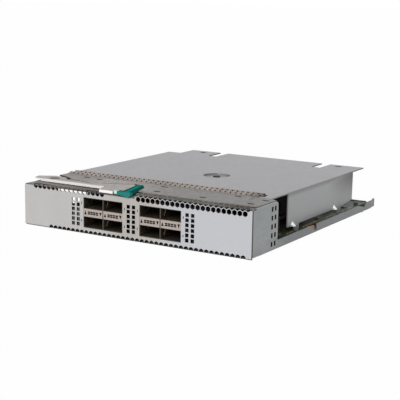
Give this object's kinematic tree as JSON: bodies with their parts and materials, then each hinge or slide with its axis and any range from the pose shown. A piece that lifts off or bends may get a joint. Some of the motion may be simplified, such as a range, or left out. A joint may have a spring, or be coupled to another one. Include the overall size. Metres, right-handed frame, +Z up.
{
  "type": "switch line card",
  "caption": "Half-width switch line card: vented faceplate with stacked module ports, side ejector lever with sprung latch, and an inset air cover over the board.",
  "frame": {"origin": "middle of the faceplate's outer face, at its underside", "axes": "+Y from the faceplate into the chassis, along the slot; +Z up, square to the board; +X to the right seen from the front"},
  "size_m": [0.2133, 0.2374, 0.0384],
  "materials": {
    "painted_face": "satin light grey powder coat",
    "zinc_sheet": "zinc-plated sheet, dull",
    "spring_bronze": "dull tan plated spring sheet",
    "cage_steel": "plated cage sheet",
    "label_plastic": "pinkish white light guide bar",
    "black_plastic": "matte",
    "bright_sheet": "satin near-white",
    "bright_steel": "plain",
    "teal_plastic": "satin moulded",
    "board_green": "solder mask",
    "sink_aluminium": "plain",
    "chip_black": "matte",
    "can_aluminium": "plain"
  },
  "bodies": {
    "chassis": {"faceplate": "painted_face", "base_tray": "zinc_sheet", "top_cover": "zinc_sheet", "finger_strip": "spring_bronze", "cage_left": "cage_steel", "cage_right": "cage_steel", "light_strip_left": "label_plastic", "light_strip_right": "label_plastic", "receptacles_left": "black_plastic", "receptacles_right": "black_plastic", "lever_bracket": "zinc_sheet", "lever_rivet": "bright_steel", "lever_washer": "bright_steel", "main_board": "board_green", "board_standoffs": "bright_steel", "board_screws": "bright_steel", "cover_pillar": "bright_steel", "cover_screw": "bright_steel", "left_heat_sink": "sink_aluminium", "right_heat_sink": "sink_aluminium", "switch_chips": "chip_black", "retimer_chips": "chip_black", "power_inductors": "chip_black", "capacitors": "can_aluminium", "signal_connector_left": "black_plastic", "signal_connector_right": "black_plastic", "power_connector": "black_plastic", "guide_socket_left": "sink_aluminium", "guide_socket_right": "sink_aluminium", "edge_header": "black_plastic", "ground_spring_left": "spring_bronze", "ground_spring_right": "spring_bronze"},
    "lever": {"ejector_lever": "bright_sheet", "latch_pin": "bright_steel"},
    "latch": {"release_latch": "teal_plastic"}
  },
  "joints": [
    {"name": "lever_swing", "type": "hinge", "parent": "chassis", "child": "lever", "pos_m": [-0.09, 0.02, 0.0365], "axis": [0, 0, -1], "range_deg": [0, 40]},
    {"name": "latch_squeeze", "type": "hinge", "parent": "lever", "child": "latch", "pos_m": [-0.011, 0.025, 0.0365], "axis": [0, 0, -1], "range_deg": [0, 4], "stiffness_Nm_per_rad": 0.05}
  ]
}
